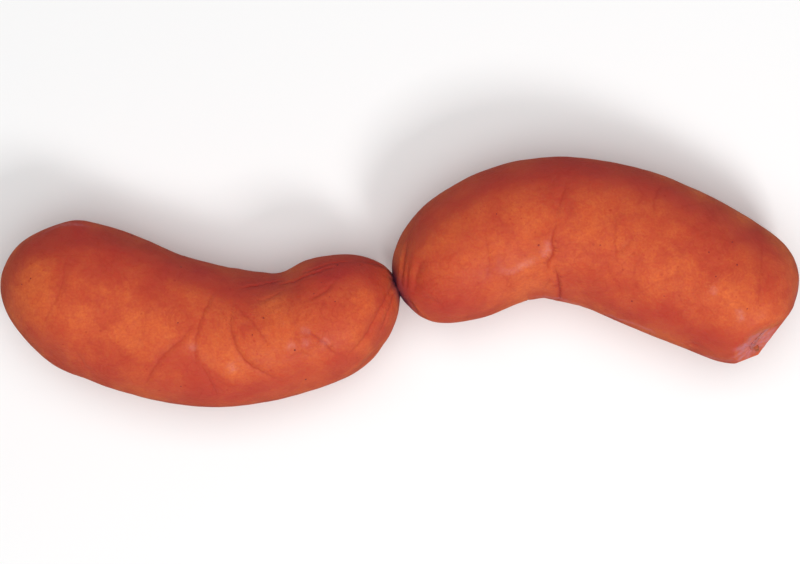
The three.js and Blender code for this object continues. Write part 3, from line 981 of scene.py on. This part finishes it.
def filled_casing():
    """Natural casing drawn tight over orange-red meat: mottled, moist, creased and speckled."""
    material, tree, shader = start_material(
        "filled_casing", Subsurface_Weight=0.3, Subsurface_Scale=0.005, IOR=1.4, Specular_IOR_Level=0.18,
        Coat_Roughness=0.38, Coat_IOR=1.4, Subsurface_Radius=(1, 0.25, 0.1),
    )
    place = object_place(tree)
    cloud = {
        name: place_group(tree, CLOUDS, {"Place": place, "Size": size * MM, "Detail": detail})
        for name, (size, detail) in CASING_CLOUDS.items()
    }
    swells, mottle, streaks = cloud["swells"], cloud["mottle"], cloud["streaks"]
    patches = smooth_step(tree, cloud["patches"], 0.15, 0.95)
    paler_and_lit = stored(tree, "paler_and_lit")
    veins = place_group(tree, VEINS, {"Place": place, "Spacing": 10 * MM, "Width": 0.07})
    fibres = place_group(tree, CRINKLES, {"Place": place, "Size": 6 * MM})
    crinkle = place_group(tree, CRINKLES, {"Place": place, "Size": 2 * MM})
    faint_specks = place_group(tree, SPECKS, {"Place": place, "Spacing": 3.6 * MM, "Radius": 0.13})
    dots = place_group(tree, SPECKS, {"Place": place, "Spacing": 1.3 * MM, "Radius": 0.2})
    shade = place_group(tree, FOLD_LINE, {"Width": 1})
    line = place_group(tree, FOLD_LINE, {"Width": 0.32})
    # Pale flecks on the fine crinkles: painted highlights, and raised in the bump
    highlit_flecks = product(tree, crinkle, product(tree, stored(tree, "crinkled_highlight"), streaks))

    # Between the pleats the gathered skin is pale, partly its own layered casing and partly painted reflection, and
    # the rim lines are painted reflections; where it is loose the film is broken and a pale highlight is painted on
    between = math_node(tree, "SUBTRACT", stored(tree, "gathered"), product(tree, stored(tree, "pleat"), 0.45), True)
    gathered = product(tree, between, scaled(tree, streaks, 0.7, 0.5))
    broken = smooth_step(tree, product(tree, mottle, streaks), 0.1, 0.6)
    loose_with_highlight = product(tree, scaled(tree, broken, 0.5, 0.5), stored(tree, "loose_with_highlight"))

    # From the filling outwards: each mask and the colour that it brings
    # Painted shade by the skin's lean: darker on the shoulders, at the back and by the neck
    painted_shade = math_node(tree, "MULTIPLY", stored(tree, "painted_shade"), scaled(tree, swells, 0.4, 0.8), True)
    kept = scaled(tree, paler_and_lit, SHOWN["patches_where_paler_and_lit"], SHOWN["patches"])
    layers = [
        (product(tree, swells, SHOWN["swells"]), SKIN_DEEP),
        (product(tree, mottle, SHOWN["mottle"]), SKIN_PALE),
        # Painted shade on the shoulders, at the back and by the neck
        (painted_shade, SKIN_PAINTED_SHADE),
        # Redder patches, some of them painted shade on the lower flank and by the neck
        (stored(tree, "redder_and_shaded"), SKIN_DEEP),
        # Paler patches, some of them painted light along the rims
        (paler_and_lit, PALER_FILLING_AND_LIT),
        (product(tree, patches, kept), SKIN_DEEP),
        (product(tree, streaks, SHOWN["streaks"]), GRAIN_DEEP),
        (product(tree, cloud["grain"], SHOWN["grain"]), GRAIN_DEEP),
        (product(tree, fibres, product(tree, patches, SHOWN["fibres"])), DARK_MARKS_AND_CREASE_SHADE),
        (product(tree, product(tree, veins, product(tree, swells, mottle)), SHOWN["veins"]), DARK_MARKS_AND_CREASE_SHADE),
        (product(tree, faint_specks, SHOWN["faint_specks"]), DARK_MARKS_AND_CREASE_SHADE),
        (product(tree, dots, product(tree, mottle, SHOWN["dots"])), GRAIN_DEEP),
        # Painted crease shade: a soft band beside each fold and a dark line along it
        (product(tree, shade, SHOWN["fold_shade"]), SKIN_DEEP),
        (product(tree, line, SHOWN["fold_line_shade"]), DARK_MARKS_AND_CREASE_SHADE),
        # Painted highlights on the fine crinkles
        (product(tree, highlit_flecks, SHOWN["highlit_flecks"]), SKIN_PALE),
        # Pale gathered skin and rim lines: painted reflection, with the tails' own paler layered casing
        (product(tree, gathered, SHOWN["gathered"]), GATHER_PALE_AND_REFLECTION),
        # Where the links press together: the casing's own darker colour and painted shade between them
        (product(tree, stored(tree, "pinched_and_shaded"), SHOWN["pinched_and_shaded"]), PINCH_DARK_AND_SHADE),
        # Painted highlight where the casing is loose and moist
        (product(tree, loose_with_highlight, SHOWN["loose_with_highlight"]), FILM_PAINTED_HIGHLIGHT),
    ]
    colour = SKIN_BRIGHT
    for mask, brought in layers:
        colour = blend_colour(tree, mask, colour, brought)
    tree.links.new(colour, shader.inputs["Base Color"])

    tree.links.new(scaled(tree, mottle, 0.14, 0.42), shader.inputs["Roughness"])
    moist = product(tree, math_node(tree, "ADD", product(tree, broken, 0.3), loose_with_highlight), 0.5)
    tree.links.new(moist, shader.inputs["Coat Weight"])

    relief = {"grain": cloud["grain"], "mottle": mottle, "streaks": streaks, "highlit_flecks": highlit_flecks, "line": line}
    height = 0
    for name, share in RAISED.items():
        height = math_node(tree, "ADD", height, product(tree, relief[name], share))
    bump = add_node(tree, "ShaderNodeBump", {"Height": height, "Strength": 0.7, "Distance": RAISED_BY})
    tree.links.new(bump.outputs["Normal"], shader.inputs["Normal"])
    return material


def twisted_skin():
    """Casing twisted tight without filling: brown and orange, finely grained and half dry."""
    material, tree, shader = start_material("twisted_casing", Roughness=0.5, Subsurface_Weight=0.1, IOR=1.42)
    grain = place_group(tree, CLOUDS, {"Place": object_place(tree), "Size": 0.5 * MM, "Detail": 3})
    colour = blend_colour(tree, grain, TWIST_BROWN, TWIST_ORANGE)
    tree.links.new(colour, shader.inputs["Base Color"])
    bump = add_node(tree, "ShaderNodeBump", {"Height": grain, "Strength": 0.6, "Distance": 0.1 * MM})
    tree.links.new(bump.outputs["Normal"], shader.inputs["Normal"])
    return material


def pepper():
    """Ground spice, seen dark red through the casing."""
    material, tree, shader = start_material("pepper_specks", Roughness=0.55, IOR=1.4)
    tree.links.new(blend_colour(tree, stored(tree, "dark"), SPECK_RED, SPECK_DARK), shader.inputs["Base Color"])
    return material


def table_top():
    """A plain pale table, not quite even in its gloss."""
    material, tree, shader = start_material("white_table", Base_Color=TABLE_WHITE)
    rough = place_group(tree, CLOUDS, {"Place": object_place(tree), "Size": 40 * MM, "Detail": 2})
    tree.links.new(scaled(tree, rough, 0.08, 0.66), shader.inputs["Roughness"])
    return material


# The string
noise.seed_set(FOLD_SEED)
casing = filled_casing()
twist = twisted_skin()
left = make_link("link_left", LEFT_LINK, LEFT_FOLDS, LEFT_DENTS, LEFT_FLATS, LEFT_GATHERS, LEFT_PINCH)
right = make_link("link_right", RIGHT_LINK, RIGHT_FOLDS, RIGHT_DENTS, RIGHT_FLATS, RIGHT_GATHERS, RIGHT_PINCH)
neck = twisted_casing("neck_twist", NECK, Vector((1, 0, 0)), NECK_RADIUS, NECK_LENGTH, turns=0.8, taper=0)
left_tail = twisted_casing("tail_left", LEFT_TAIL, LEFT_TAIL_OUT, TAIL_RADIUS, TAIL_LENGTH, turns=0.5, taper=0.4)
right_tail = twisted_casing("tail_right", RIGHT_TAIL, RIGHT_TAIL_OUT, TAIL_RADIUS, TAIL_LENGTH, turns=0.5, taper=0.5)
specks = pepper_specks(((left, LEFT_LINK, LEFT_SPECKS), (right, RIGHT_LINK, RIGHT_SPECKS)))
finishes = (
    (left, casing), (right, casing), (neck, twist), (left_tail, twist), (right_tail, twist), (specks, pepper()),
)
for piece, finish in finishes:
    piece.data.materials.append(finish)
    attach(piece, "root")
    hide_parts("sausage_string")

# The table
TABLE_SIZE = 4

deselect()
bpy.ops.mesh.primitive_plane_add(size=TABLE_SIZE)
table = bpy.context.object
table.name = "table_top"
table.data.materials.append(table_top())
table.visible_glossy = False


# The light: how bright the room's walls are, and how much brighter they look behind the table. A light has its
# place, its size in metres and its power in watts.
WALL_LIGHT = 0.1
WALL_SEEN = 0.71
WINDOW = ((0.4, -0.66, 0.84), 0.3, 5.5)
OVERHEAD = ((0, 0, 1.3), 1.5, 17.1)


def soft_light(name, place, size, power):
    """A large square light that points at the string."""
    bpy.ops.object.light_add(type="AREA", location=place)
    light = bpy.context.object
    light.name = name
    light.data.size = size
    light.data.energy = power
    light.rotation_euler = (-Vector(place)).to_track_quat("-Z", "Y").to_euler()
    light.visible_camera = False
    return light


soft_light("window", *WINDOW)
overhead = soft_light("overhead", *OVERHEAD)
overhead.visible_glossy = False
room = bpy.data.worlds.new("room")
bpy.context.scene.world = room
room.use_nodes = True
wall = room.node_tree.nodes["Background"]
seen = room.node_tree.nodes.new("ShaderNodeLightPath").outputs["Is Camera Ray"]
room.node_tree.links.new(scaled(room.node_tree, seen, WALL_SEEN, WALL_LIGHT), wall.inputs["Strength"])
wall.inputs["Color"].default_value = (1, 1, 1, 1)
bpy.context.scene.view_settings.view_transform = "Standard"

# The camera, straight above
bpy.ops.object.camera_add(location=(*PICTURE_MIDDLE, CAMERA_HEIGHT), rotation=(0, 0, 0))
camera = bpy.context.object
camera.data.sensor_width = SENSOR
camera.data.lens = SENSOR * (CAMERA_HEIGHT - LINK_MIDDLE) / PICTURE_WIDE
bpy.context.scene.camera = camera
